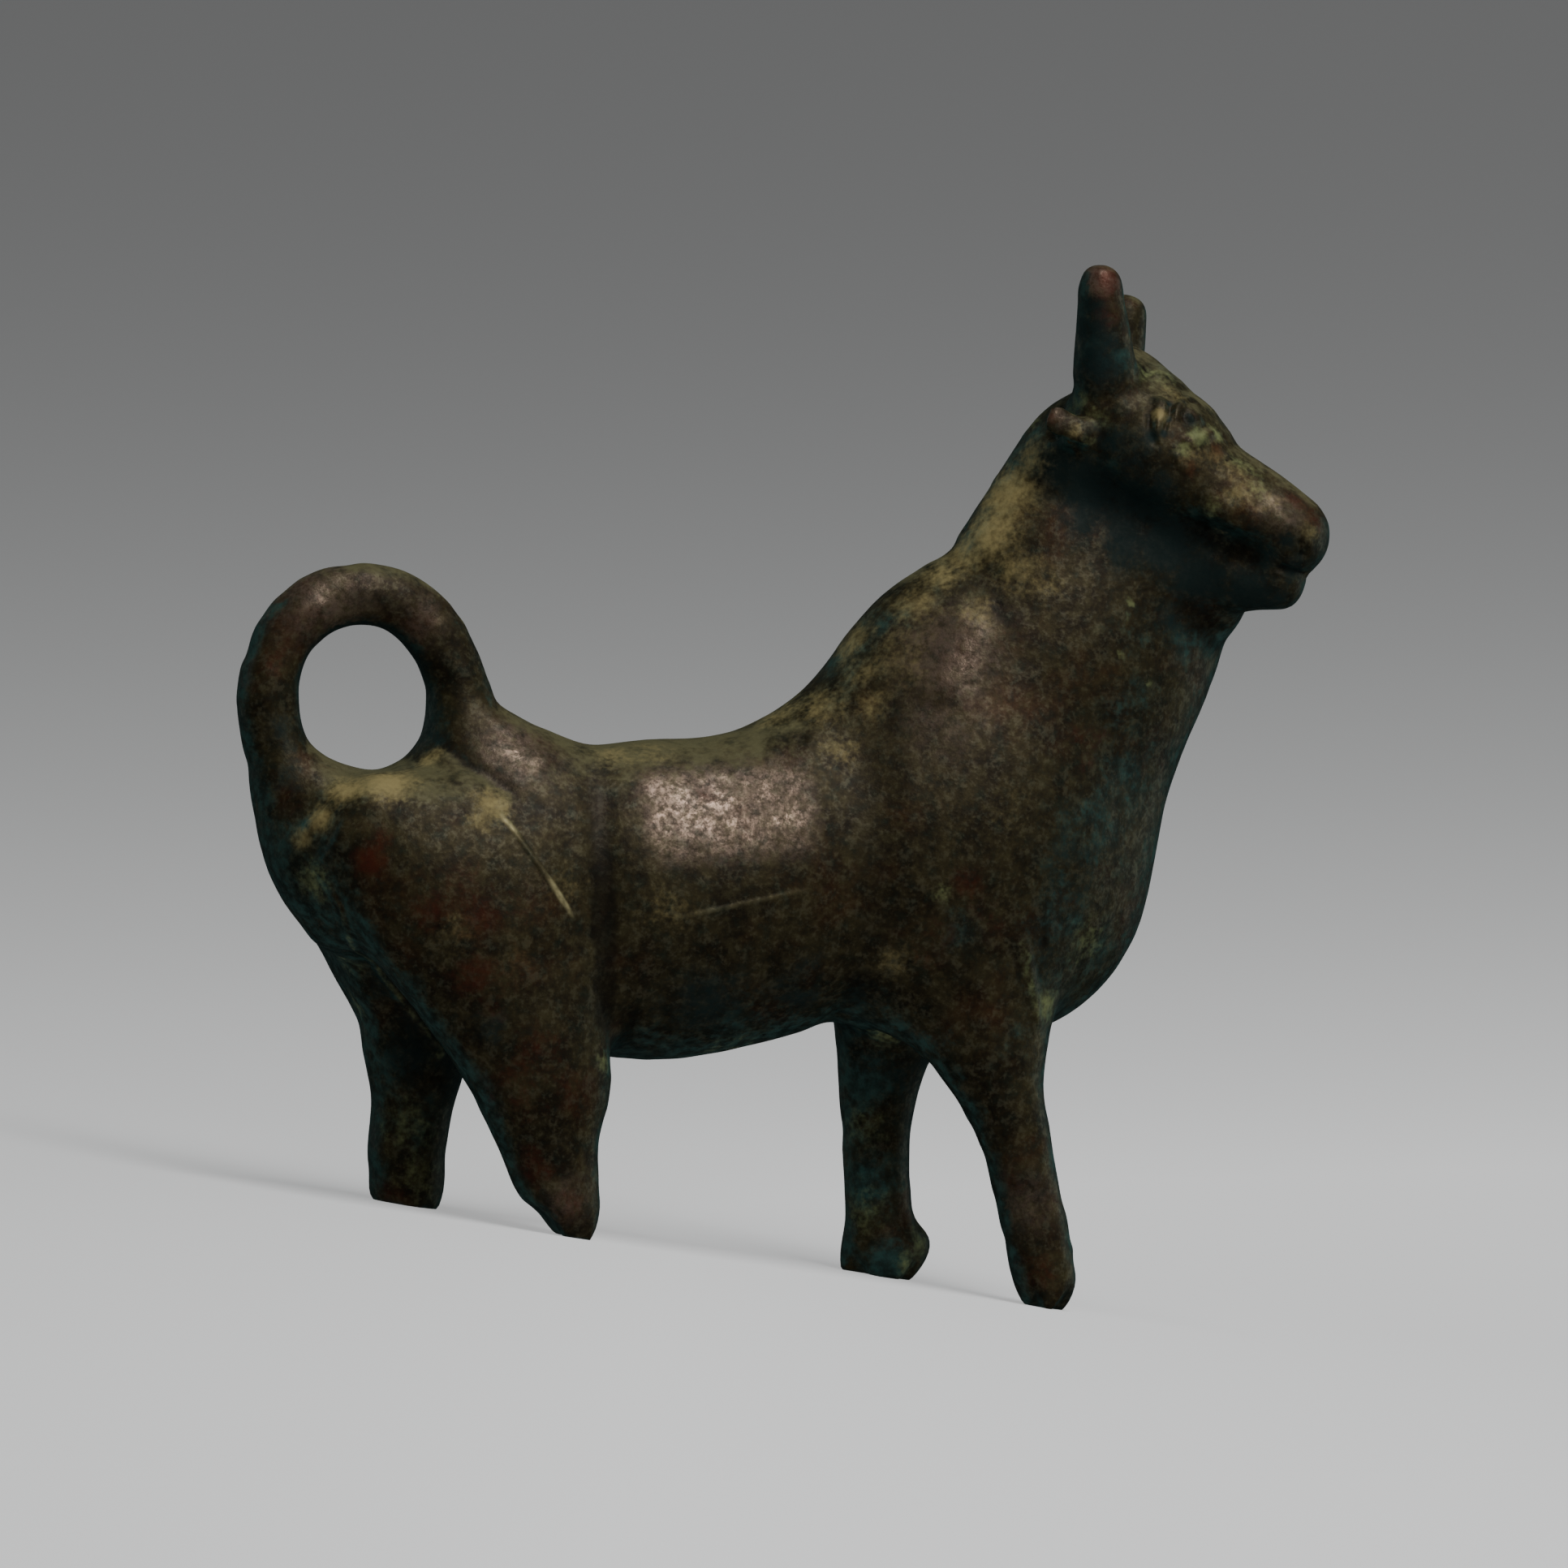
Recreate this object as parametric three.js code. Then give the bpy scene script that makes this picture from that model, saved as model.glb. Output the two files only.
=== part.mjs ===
// A small solid-cast bronze bull, standing, with a ring-shaped tail and hind legs that end in worn stumps.
// Millimetres. X runs forward along the body, Y to the bull's left, Z up. The origin is on the ground,
// under the middle of the figure, and the four feet stand on the plane Z = 0.

import * as THREE from "three";

// Driving dimensions
const BARREL_HALF_WIDTH = 6.5; // half the width of the belly
const NECK_HALF_WIDTH = 5.4; // half the width of the neck at the shoulders
const THIGH_Y = 3.4; // how far each thigh's middle lies from the centre plane
const HIND_FOOT_Y = 4.2; // how far each hind foot lies from the centre plane
const FORE_FOOT_Y = 4.0; // how far each fore foot lies from the centre plane
const HEAD_TURN = THREE.MathUtils.degToRad(25); // the head looks to the bull's right
const TAIL_RADIUS = 1.56; // the cast rod of the tail ring
const BODY_FACE = 1.24; // the size of the faces on the body
const TAIL_FACE = 1.05; // and on the tail ring, which is thin
const HEAD_FACE = 0.67; // and on the head, which holds smaller forms
const FRONT_FACE = 0.86; // and along the front of the figure, below the head
const ACROSS_FACE = 0.98; // and from side to side everywhere
const SOLE_FACE = 0.55; // half the height of the layer of faces that holds the soles
const FARTHEST_BLEND = 4; // forms farther from a point than this leave its distance alone

// Directions that a section's width is measured along
const ACROSS = [0, 1, 0];
const HEAD_ACROSS = [Math.sin(HEAD_TURN), Math.cos(HEAD_TURN), 0];

const dot = (a, b) => a[0] * b[0] + a[1] * b[1] + a[2] * b[2];
const minus = (a, b) => [a[0] - b[0], a[1] - b[1], a[2] - b[2]];

// The distance from the rim of an oval to a point, given the point's parts along the oval's half axes.
function ovalDistance(parts, halves) {
  const length = Math.hypot(...parts);
  const reach = Math.hypot(...parts.map((v, n) => v / halves[n]));
  return reach < 1e-6 ? -Math.min(...halves) : length * (1 - 1 / reach);
}

// A form as a function of a point, asked only near the box that holds the form.
function inBox(low, high, distance) {
  return (p) => {
    const outside = p.map((v, n) => Math.max(low[n] - v, v - high[n], 0));
    const away = Math.hypot(...outside);
    return away > FARTHEST_BLEND ? away : distance(p);
  };
}

// One cross-section of a limb: its middle, and its half height and half width there.
const station = (x, y, z, tall, wide = tall) => ({ middle: [x, y, z], tall, wide });

// A limb is a smooth rod through its stations.
function limb(stations, side = ACROSS) {
  const spine = new THREE.CatmullRomCurve3(stations.map((s) => new THREE.Vector3(...s.middle)));
  const girth = new THREE.CatmullRomCurve3(stations.map((s) => new THREE.Vector3(s.tall, s.wide, 0)));
  const count = (stations.length - 1) * 4;
  const rings = [];
  for (let i = 0; i <= count; i++) {
    const size = girth.getPoint(i / count);
    rings.push({ middle: spine.getPoint(i / count).toArray(), tall: size.x, wide: size.y });
  }
  const reach = Math.max(...rings.map((r) => Math.max(r.tall, r.wide)));
  const low = [0, 1, 2].map((n) => Math.min(...rings.map((r) => r.middle[n])) - reach);
  const high = [0, 1, 2].map((n) => Math.max(...rings.map((r) => r.middle[n])) + reach);
  return inBox(low, high, (p) => {
    let nearest = Infinity;
    for (let i = 0; i < count; i++) {
      const [a, b] = [rings[i], rings[i + 1]];
      const along = minus(b.middle, a.middle);
      const share = Math.min(Math.max(dot(minus(p, a.middle), along) / dot(along, along), 0), 1);
      const q = minus(p, a.middle).map((v, n) => v - share * along[n]);
      const width = dot(q, side);
      const rest = Math.sqrt(Math.max(dot(q, q) - width * width, 0));
      const halves = [a.tall + share * (b.tall - a.tall), a.wide + share * (b.wide - a.wide)];
      nearest = Math.min(nearest, ovalDistance([rest, width], halves));
    }
    return nearest;
  });
}

// A rounded lump: an oval ball with its long side along one direction.
function lump(middle, along, long, tall, wide, side = ACROSS) {
  const axis = new THREE.Vector3(...along).normalize().toArray();
  const reach = Math.max(long, tall, wide);
  const low = middle.map((v) => v - reach);
  const high = middle.map((v) => v + reach);
  return inBox(low, high, (p) => {
    const q = minus(p, middle);
    const [length, width] = [dot(q, axis), dot(q, side)];
    const rest = Math.sqrt(Math.max(dot(q, q) - length * length - width * width, 0));
    return ovalDistance([length, rest, width], [long, tall, wide]);
  });
}

// A flat face: the distance out of the metal past a plane through one point, with its outward direction.
function flat(point, outward) {
  const axis = new THREE.Vector3(...outward).normalize().toArray();
  return (p) => dot(minus(p, point), axis);
}

// Two forms joined over a fillet, what both share, and a form with a hollow pressed into it.
function join(a, b, fillet) {
  const share = Math.max(fillet - Math.abs(a - b), 0) / fillet;
  return Math.min(a, b) - (share * share * fillet) / 4;
}
const shared = (a, b, fillet) => -join(-a, -b, fillet);
const press = (a, hollow, fillet) => -join(-a, hollow, fillet);

// The trunk
const barrel = limb([
  station(-20.3, 0, 17.4, 3.7, 3.2),
  station(-17.4, 0, 17.6, 4.5, 4.3),
  station(-13.2, 0, 17.8, 6.3, 5.5),
  station(-8.6, 0, 17.3, 7.75, BARREL_HALF_WIDTH),
  station(-4.2, 0, 17.4, 8.2, BARREL_HALF_WIDTH),
  station(0.0, 0, 18.5, 7.95, BARREL_HALF_WIDTH),
  station(4.4, 0, 20.4, 7.8, BARREL_HALF_WIDTH),
  station(9.0, 0, 21.2, 8.6, BARREL_HALF_WIDTH - 0.3),
  station(13.1, 0, 21.5, 8.6, BARREL_HALF_WIDTH - 0.8),
]);
const neck = limb([
  station(10.75, 0, 24.7, 9.35, NECK_HALF_WIDTH),
  station(12.65, 0, 28.65, 9.35, NECK_HALF_WIDTH),
  station(14.95, -0.2, 32.1, 7.95, NECK_HALF_WIDTH - 0.2),
  station(16.05, -0.3, 35.6, 7.65, NECK_HALF_WIDTH - 1.1),
  station(16.6, -0.4, 38.9, 6.85, 3.3),
  station(15.9, -0.6, 42.0, 4.6, 2.9),
]);
const shoulders = [-1, 1].map((side) => lump([11.6, side * 2.4, 22.6], [0.12, 0, 1], 10.4, 7.2, 4.3));

// The tail leaves the back, bends over in a ring and comes to rest on the rump.
const tail = limb([
  station(-13.4, 0, 22.6, 2.6),
  station(-15.2, 0, 24.8, 1.9),
  station(-16.1, 0, 27.0, TAIL_RADIUS),
  station(-17.5, 0, 28.95, TAIL_RADIUS),
  station(-19.5, 0, 30.25, TAIL_RADIUS),
  station(-22.0, 0, 30.3, TAIL_RADIUS),
  station(-24.1, 0, 29.15, TAIL_RADIUS),
  station(-25.35, 0, 27.0, TAIL_RADIUS - 0.05),
  station(-25.5, 0, 24.4, TAIL_RADIUS),
  station(-24.5, 0, 21.6, TAIL_RADIUS),
  station(-22.95, 0, 18.9, TAIL_RADIUS + 0.1, 1.9),
  station(-21.85, 0, 16.1, TAIL_RADIUS + 0.1, 2.3),
  station(-20.35, 0, 14.1, 1.3, 2.0),
]);
const tailSaddle = lump([-21.2, 0, 19.25], [1, 0, -0.15], 3.3, 2.1, 2.0);

// The haunches, each a slanting slab that is cut off flat behind
const haunches = {
  near: limb([
    station(-19.2, -THIGH_Y + 0.4, 18.1, 3.3, 2.7),
    station(-15.6, -THIGH_Y, 15.9, 5.1, 3.5),
    station(-11.6, -THIGH_Y - 0.2, 12.0, 4.9, 3.4),
    station(-9.6, -THIGH_Y - 0.6, 8.0, 3.6, 2.7),
  ]),
  far: limb([
    station(-19.2, THIGH_Y - 0.4, 17.6, 3.5, 2.7),
    station(-17.4, THIGH_Y, 14.6, 4.7, 3.5),
    station(-15.6, THIGH_Y + 0.2, 10.8, 3.8, 3.2),
    station(-14.3, THIGH_Y + 0.5, 7.6, 2.6, 2.5),
  ]),
};
const nearRear = flat([-17.9, 0, 11.6], [-0.672, 0, -0.74]);
const farRear = flat([-19.1, 0, 11.6], [-0.778, 0, -0.628]);
const rearFace = (p) => {
  const share = THREE.MathUtils.smoothstep(p[1], -THIGH_Y, THIGH_Y);
  return (1 - share) * nearRear(p) + share * farRear(p);
};
const hindHollow = limb([
  station(-20.0, 0.4, 10.2, 1.6, 0.9),
  station(-15.6, 0.2, 7.4, 3.0, 1.7),
  station(-11.4, 0, 5.6, 4.0, 2.0),
]);

// The lower legs
const shankNear = limb([
  station(-10.2, -HIND_FOOT_Y + 0.3, 9.2, 3.2, 2.5),
  station(-9.15, -HIND_FOOT_Y + 0.2, 7.2, 3.2, 2.4),
  station(-8.5, -HIND_FOOT_Y, 4.9, 2.6, 2.1),
  station(-7.8, -HIND_FOOT_Y, 2.9, 2.2, 1.9),
  station(-7.3, -HIND_FOOT_Y, 1.0, 2.1, 1.8),
]);
const brokenEnd = flat([-6.5, 0, 0.1], [-0.46, 0, -0.89]);
const shankFar = limb([
  station(-14.3, HIND_FOOT_Y - 0.3, 8.0, 2.5, 2.4),
  station(-13.75, HIND_FOOT_Y, 5.2, 2.1, 2.1),
  station(-13.65, HIND_FOOT_Y, 2.8, 2.0, 2.0),
  station(-13.3, HIND_FOOT_Y, 0.9, 1.9, 1.9),
]);
const foreLegNear = limb([
  station(12.4, -3.1, 17.5, 4.6, 3.0),
  station(13.45, -3.5, 13.8, 3.4, 2.6),
  station(14.6, -3.8, 11.0, 2.3, 2.1),
  station(15.75, -FORE_FOOT_Y, 8.6, 1.85, 1.8),
  station(16.75, -FORE_FOOT_Y, 6.2, 1.7, 1.65),
  station(17.7, -FORE_FOOT_Y, 3.9, 1.7, 1.65),
  station(18.6, -FORE_FOOT_Y, 1.4, 1.6, 1.6),
]);
const foreLegFar = limb([
  station(10.2, 3.0, 16.5, 3.8, 2.8),
  station(10.3, 3.4, 13.0, 2.8, 2.3),
  station(10.45, 3.8, 10.0, 2.15, 1.9),
  station(10.8, FORE_FOOT_Y, 7.2, 1.78, 1.7),
  station(11.35, FORE_FOOT_Y, 4.4, 1.72, 1.65),
  station(11.9, FORE_FOOT_Y, 2.0, 1.8, 1.65),
]);
const hoofFar = lump([12.3, FORE_FOOT_Y, 1.45], [1, 0, 0], 2.2, 1.7, 1.75);
const toeFar = lump([13.6, FORE_FOOT_Y, 2.2], [0, 0, 1], 0.8, 0.65, 1.3);

// The head, turned to the bull's right
const skull = limb(
  [
    station(15.7, -0.9, 44.2, 2.8, 3.6),
    station(17.6, -1.8, 44.3, 3.7, 4.5),
    station(20.4, -3.1, 42.8, 2.8, 3.6),
    station(23.2, -4.3, 41.8, 2.35, 2.85),
    station(24.7, -4.9, 41.0, 2.25, 2.8),
  ],
  HEAD_ACROSS,
);
const jaw = limb(
  [
    station(17.2, -1.5, 40.6, 3.2, 2.5),
    station(20.9, -3.2, 39.1, 2.75, 1.9),
    station(23.1, -4.2, 38.65, 1.85, 1.8),
    station(24.7, -4.9, 38.5, 1.35, 1.7),
  ],
  HEAD_ACROSS,
);
const poll = lump([13.9, -0.8, 43.3], [0.5, 0, 1], 2.4, 2.05, 3.0);
const throat = lump([22.6, -2.4, 36.9], [1, -0.3, -1], 1.3, 1.2, 1.4, HEAD_ACROSS);
const crown = lump([16.6, -1.05, 47.15], [0.75, -0.35, -0.56], 2.85, 1.95, 2.5, HEAD_ACROSS);
const horns = [
  limb([
    station(15.1, -2.9, 45.3, 1.8),
    station(14.3, -3.3, 47.6, 1.65),
    station(13.75, -3.6, 49.6, 1.4),
    station(13.1, -4.0, 51.95, 1.12),
  ]),
  limb([station(16.7, 1.3, 45.6, 1.8), station(16.6, 1.7, 48.0, 1.2), station(16.4, 2.0, 51.0, 1.12)]),
];
const ears = [
  lump([12.5, -4.4, 44.5], [-1, -0.55, 0.45], 1.9, 0.85, 0.85),
  lump([15.3, 3.0, 44.6], [-0.7, 1, 0.45], 1.9, 0.85, 0.85),
];
const eyes = [
  lump([18.3, -5.15, 45.9], [0.8, -0.4, -0.5], 0.85, 0.75, 0.75),
  lump([20.5, -0.2, 45.3], [0.8, -0.4, -0.5], 0.85, 0.75, 0.75),
];

// The whole figure as one distance: below zero inside the metal, above zero outside it
function bullDistance(p) {
  const haunch = join(haunches.near(p), haunches.far(p), 1.2);
  let d = join(barrel(p), haunch, 2.0);
  d = shared(d, rearFace(p), 0.7);
  d = join(d, tailSaddle(p), 1.2);
  d = press(d, hindHollow(p), 1.2);
  d = join(d, neck(p), 3);
  shoulders.forEach((shoulder) => (d = join(d, shoulder(p), 1.4)));
  d = join(d, shared(shankNear(p), brokenEnd(p), 0.5), 1.2);
  d = join(d, shankFar(p), 1.2);
  d = join(d, foreLegNear(p), 1.4);
  d = join(d, join(join(foreLegFar(p), hoofFar(p), 0.8), toeFar(p), 0.5), 1.4);
  d = join(d, tail(p), 2.6);
  let head = join(skull(p), jaw(p), 0.8);
  head = join(join(join(head, poll(p), 1.2), crown(p), 1.0), throat(p), 1.0);
  horns.forEach((horn) => (head = join(head, horn(p), 0.9)));
  [...ears, ...eyes].forEach((small) => (head = join(head, small(p), 0.5)));
  return join(d, head, 1.5);
}

// Planes of the grid that the skin is found on, closer together where the forms are small
function planes(low, high, spacingAt) {
  const at = [low];
  while (at[at.length - 1] < high) at.push(at[at.length - 1] + spacingAt(at[at.length - 1]));
  return at;
}
const grid = [
  planes(-29, 30, (x) => (x > 12.4 ? FRONT_FACE : x < -14 ? TAIL_FACE : BODY_FACE)),
  planes(-9.31, 9, () => ACROSS_FACE),
  planes(-SOLE_FACE, 54, (z) => (z > 35.5 ? HEAD_FACE : BODY_FACE)),
];
const [nx, ny, nz] = grid.map((axis) => axis.length);
const id = (i, j, k) => (i * ny + j) * nz + k;

// The metal ends at the ground, so the feet are flat below.
const standingDistance = (p) => Math.max(bullDistance(p), -p[2]);
const value = new Float64Array(nx * ny * nz);
for (let i = 0; i < nx; i++) {
  for (let j = 0; j < ny; j++) {
    for (let k = 0; k < nz; k++) value[id(i, j, k)] = standingDistance([grid[0][i], grid[1][j], grid[2][k]]);
  }
}

// Where the surface would touch itself across a grid face, the weakest corner of that face changes side.
function settleFaces() {
  let settled = 0;
  const steps = [ny * nz, nz, 1];
  for (let i = 0; i < nx - 1; i++) {
    for (let j = 0; j < ny - 1; j++) {
      for (let k = 0; k < nz - 1; k++) {
        [0, 1, 2].forEach((axis) => {
          const [u, v] = [steps[(axis + 1) % 3], steps[(axis + 2) % 3]];
          const ring = [id(i, j, k), id(i, j, k) + u, id(i, j, k) + u + v, id(i, j, k) + v];
          const inside = ring.map((n) => value[n] < 0);
          if (inside[0] !== inside[2] || inside[1] !== inside[3] || inside[0] === inside[1]) return;
          const weakest = ring.reduce((a, b) => (Math.abs(value[a]) < Math.abs(value[b]) ? a : b));
          value[weakest] = value[weakest] < 0 ? 1e-3 : -1e-3;
          settled++;
        });
      }
    }
  }
  return settled;
}
while (settleFaces() > 0);

// The skin has one corner in each grid cell that the surface passes through.
const corners = [];
const cells = [];
const cornerOf = new Int32Array(nx * ny * nz).fill(-1);
function middleOfCrossings(i, j, k) {
  const sum = [0, 0, 0];
  let crossings = 0;
  const look = (a, b) => {
    const [va, vb] = [value[id(...a)], value[id(...b)]];
    if (va < 0 === vb < 0) return;
    const share = va / (va - vb);
    a.forEach((n, axis) => (sum[axis] += grid[axis][n] + share * (grid[axis][b[axis]] - grid[axis][n])));
    crossings++;
  };
  for (let u = 0; u < 2; u++) {
    for (let v = 0; v < 2; v++) {
      look([i, j + u, k + v], [i + 1, j + u, k + v]);
      look([i + u, j, k + v], [i + u, j + 1, k + v]);
      look([i + u, j + v, k], [i + u, j + v, k + 1]);
    }
  }
  return crossings ? sum.map((v) => v / crossings) : null;
}
for (let i = 0; i < nx - 1; i++) {
  for (let j = 0; j < ny - 1; j++) {
    for (let k = 0; k < nz - 1; k++) {
      const middle = middleOfCrossings(i, j, k);
      if (!middle) continue;
      cornerOf[id(i, j, k)] = corners.length;
      corners.push(middle);
      cells.push([i, j, k]);
    }
  }
}

// Across each grid edge that the surface cuts, one four-sided face joins the corners of the four cells.
const quads = [];
for (let i = 1; i < nx - 1; i++) {
  for (let j = 1; j < ny - 1; j++) {
    for (let k = 0; k < nz - 1; k++) {
      const inside = value[id(i, j, k)] < 0;
      const corner = (di, dj, dk) => cornerOf[id(i - di, j - dj, k - dk)];
      const face = (...ring) => quads.push(inside ? ring : ring.reverse());
      if (k > 0 && inside !== value[id(i + 1, j, k)] < 0)
        face(corner(0, 1, 1), corner(0, 0, 1), corner(0, 0, 0), corner(0, 1, 0));
      if (k > 0 && inside !== value[id(i, j + 1, k)] < 0)
        face(corner(1, 0, 1), corner(1, 0, 0), corner(0, 0, 0), corner(0, 0, 1));
      if (inside !== value[id(i, j, k + 1)] < 0)
        face(corner(1, 1, 0), corner(0, 1, 0), corner(0, 0, 0), corner(1, 0, 0));
    }
  }
}

// Each corner drifts towards the middle of its neighbours and back onto the surface, inside its own cell.
// A corner in the lowest layer belongs to a sole: it stays on the ground, and one at the rim slides there.
const neighbours = corners.map(() => new Set());
quads.forEach((quad) =>
  quad.forEach((corner, n) => {
    neighbours[corner].add(quad[(n + 1) % 4]);
    neighbours[corner].add(quad[(n + 3) % 4]);
  }),
);
function slopeAt(p) {
  const step = 0.02;
  return [0, 1, 2].map((n) => {
    const [more, less] = [[...p], [...p]];
    more[n] += step;
    less[n] -= step;
    return (bullDistance(more) - bullDistance(less)) / (2 * step);
  });
}
function pulled(p, onSole) {
  const slope = slopeAt(p);
  if (onSole) slope[2] = 0;
  const off = bullDistance(p) / Math.max(dot(slope, slope), 0.2);
  return p.map((v, axis) => v - off * slope[axis]);
}
const onRim = cells.map((cell, n) => cell[2] === 0 && [...neighbours[n]].some((m) => cells[m][2] > 0));
for (let round = 0; round < 3; round++) {
  const drifted = corners.map((p, n) => {
    const around = [...neighbours[n]].map((m) => corners[m]);
    return p.map((v, axis) => 0.5 * v + (0.5 * around.reduce((sum, q) => sum + q[axis], 0)) / around.length);
  });
  drifted.forEach((start, n) => {
    const onSole = cells[n][2] === 0;
    let p = onSole ? [start[0], start[1], 0] : start;
    if (!onSole || onRim[n]) p = pulled(pulled(p, onSole), onSole);
    corners[n] = p.map((v, axis) => {
      const [low, high] = [grid[axis][cells[n][axis]], grid[axis][cells[n][axis] + 1]];
      const margin = 0.02 * (high - low);
      return Math.min(Math.max(v, low + margin), high - margin);
    });
  });
}

// Each four-sided face is split along its shorter diagonal.
const gap = (a, b) => Math.hypot(...minus(corners[a], corners[b]));
const twoFaces = (a, b, c, d) => [a, b, c, a, c, d];
const split = ([a, b, c, d]) => (gap(a, c) <= gap(b, d) ? twoFaces(a, b, c, d) : twoFaces(b, c, d, a));
const faces = quads.flatMap(split);

const bullGeometry = new THREE.BufferGeometry();
bullGeometry.setAttribute("position", new THREE.Float32BufferAttribute(corners.flat(), 3));
bullGeometry.setIndex(faces);
bullGeometry.computeBoundingBox();
const middle = bullGeometry.boundingBox.getCenter(new THREE.Vector3());
bullGeometry.translate(-middle.x, -middle.y, 0);
bullGeometry.computeVertexNormals();

const bronze = new THREE.MeshStandardMaterial({ color: 0x3b3026, roughness: 0.42, metalness: 0.75 });
const bull = new THREE.Mesh(bullGeometry, bronze);
bull.name = "bull";

const figurine = new THREE.Group();
figurine.add(bull);
export default figurine;
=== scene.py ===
# %% [markdown]
# # A small bronze bull
#
# The real object is one pour of bronze, about as long as a thumb: a standing bull whose tail bends round into a ring.
# Its shape and size come from the imported CAD model, a closed solid with faces about a millimetre across. This script
# adds what such a solid can't hold. It rounds the skin, cuts and raises the small details, and lays the patina on it,
# together with some painted shade and light.

# %% Load the frame
import math

import bmesh
import bpy
import numpy as np
from mathutils import Matrix, Vector
from mathutils.bvhtree import BVHTree


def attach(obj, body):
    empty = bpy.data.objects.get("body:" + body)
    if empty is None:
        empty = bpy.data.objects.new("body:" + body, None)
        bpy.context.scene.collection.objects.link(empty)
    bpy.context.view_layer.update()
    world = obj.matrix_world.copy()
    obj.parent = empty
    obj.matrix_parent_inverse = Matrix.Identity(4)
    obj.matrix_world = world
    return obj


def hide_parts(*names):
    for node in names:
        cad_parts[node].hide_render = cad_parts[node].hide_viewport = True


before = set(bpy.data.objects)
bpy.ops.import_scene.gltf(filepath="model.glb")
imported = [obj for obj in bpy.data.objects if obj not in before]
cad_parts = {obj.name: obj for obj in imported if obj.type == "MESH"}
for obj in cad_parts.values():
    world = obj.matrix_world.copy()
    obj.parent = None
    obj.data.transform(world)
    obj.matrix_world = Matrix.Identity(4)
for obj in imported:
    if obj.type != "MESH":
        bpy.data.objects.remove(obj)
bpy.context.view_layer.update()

MM = 0.001

# %% [markdown]
# ## Where the photographer stood
#
# The figure was seen level, from its right side and a little from behind, through a long lens, and it leaned nose
# down in the frame. A camera that stands level and is rolled about its own axis gives the same view. The camera comes
# first, because it also finds places on the bronze: a line through a pixel of the photograph meets the skin where
# the detail at that pixel belongs.

# %% The camera
PHOTO_SIDE = 1932
AIM = Vector((1.906, 0.329, 24.3)) * MM
DISTANCE = 556.8 * MM
FROM_BEHIND = math.radians(15)
ROLL = math.radians(9.2)
LENS = 250
SENSOR = 36

forward = Vector((math.sin(FROM_BEHIND), math.cos(FROM_BEHIND), 0))
level_right = Vector((math.cos(FROM_BEHIND), -math.sin(FROM_BEHIND), 0))
image_right = level_right * math.cos(ROLL) + Vector((0, 0, math.sin(ROLL)))
image_up = Vector((0, 0, math.cos(ROLL))) - level_right * math.sin(ROLL)
eye_point = AIM - forward * DISTANCE

camera = bpy.data.objects.new("camera", bpy.data.cameras.new("camera"))
camera.data.lens = LENS
camera.data.sensor_width = SENSOR
camera.data.clip_start = 0.01
camera.data.clip_end = 20
camera.matrix_world = Matrix.Translation(eye_point) @ Matrix((image_right, image_up, -forward)).transposed().to_4x4()
bpy.context.scene.collection.objects.link(camera)
bpy.context.scene.camera = camera
print("camera", round(DISTANCE / MM), "mm from the figure")

# %% [markdown]
# ## A smooth skin
#
# A cast surface has no facets. The CAD mesh is copied, its loose triangles are merged and paired into quads, and
# Subdivision Surface rounds them. Left alone, subdivision shrinks a shape, so the copy's points are first pushed out,
# a few rounds, until the rounded skin passes through the places where the CAD points were.

# %% Round the casting
ROUNDING_ROUNDS = 5
MERGE_DISTANCE = 0.002 * MM


def mesh_points(mesh):
    points = np.empty(len(mesh.vertices) * 3, np.float32)
    mesh.vertices.foreach_get("co", points)
    return points.reshape(-1, 3).astype(float)


def mesh_normals(mesh):
    normals = np.empty(len(mesh.vertices) * 3, np.float32)
    mesh.vertices.foreach_get("normal", normals)
    return normals.reshape(-1, 3).astype(float)


def set_points(mesh, points):
    mesh.vertices.foreach_set("co", np.ascontiguousarray(points, np.float32).ravel())
    mesh.update()


def merged_copy(node):
    """The node's mesh with its loose triangles joined and paired into quads."""
    mesh = node.data.copy()
    mesh.name = "bull_skin"
    shape = bmesh.new()
    shape.from_mesh(mesh)
    bmesh.ops.remove_doubles(shape, verts=shape.verts, dist=MERGE_DISTANCE)
    flatness, squareness = math.radians(50), math.radians(70)
    bmesh.ops.join_triangles(
        shape, faces=shape.faces, angle_face_threshold=flatness, angle_shape_threshold=squareness
    )
    shape.to_mesh(mesh)
    shape.free()
    mesh.materials.clear()
    return mesh


def finished_mesh(piece):
    """What the piece's modifiers make of it, as a plain mesh."""
    return bpy.data.meshes.new_from_object(piece.evaluated_get(bpy.context.evaluated_depsgraph_get()))


bull = bpy.data.objects.new("bull_cast", merged_copy(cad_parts["bull"]))
bpy.context.scene.collection.objects.link(bull)
rounding = bull.modifiers.new("rounding", "SUBSURF")
rounding.levels = rounding.render_levels = 2
wanted = mesh_points(bull.data)
pushed = wanted.copy()
for _ in range(ROUNDING_ROUNDS):
    rounded = mesh_points(bull.evaluated_get(bpy.context.evaluated_depsgraph_get()).data)
    miss = wanted - rounded[: len(wanted)]
    pushed += miss
    set_points(bull.data, pushed)
    bull.data.update_tag()
bull.data = finished_mesh(bull)
bull.modifiers.clear()
print("rounded skin", len(bull.data.polygons), "faces, farthest miss", round(float(np.abs(miss).max()) / MM, 3), "mm")

# %% [markdown]
# The rounded skin still has the faint ripple of the CAD faces. A few rounds of smoothing take it out: each point
# moves towards its neighbours and then a little more back, which evens the ripple and keeps the volume. The soles
# stay flat on the ground.

# %% Even out the ripple
SMOOTHING_ROUNDS = 10
SMOOTHING_IN = 0.5
SMOOTHING_OUT = -0.52


def edge_list(mesh):
    edges = np.empty(len(mesh.edges) * 2, np.int32)
    mesh.edges.foreach_get("vertices", edges)
    return edges.reshape(-1, 2)


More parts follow.
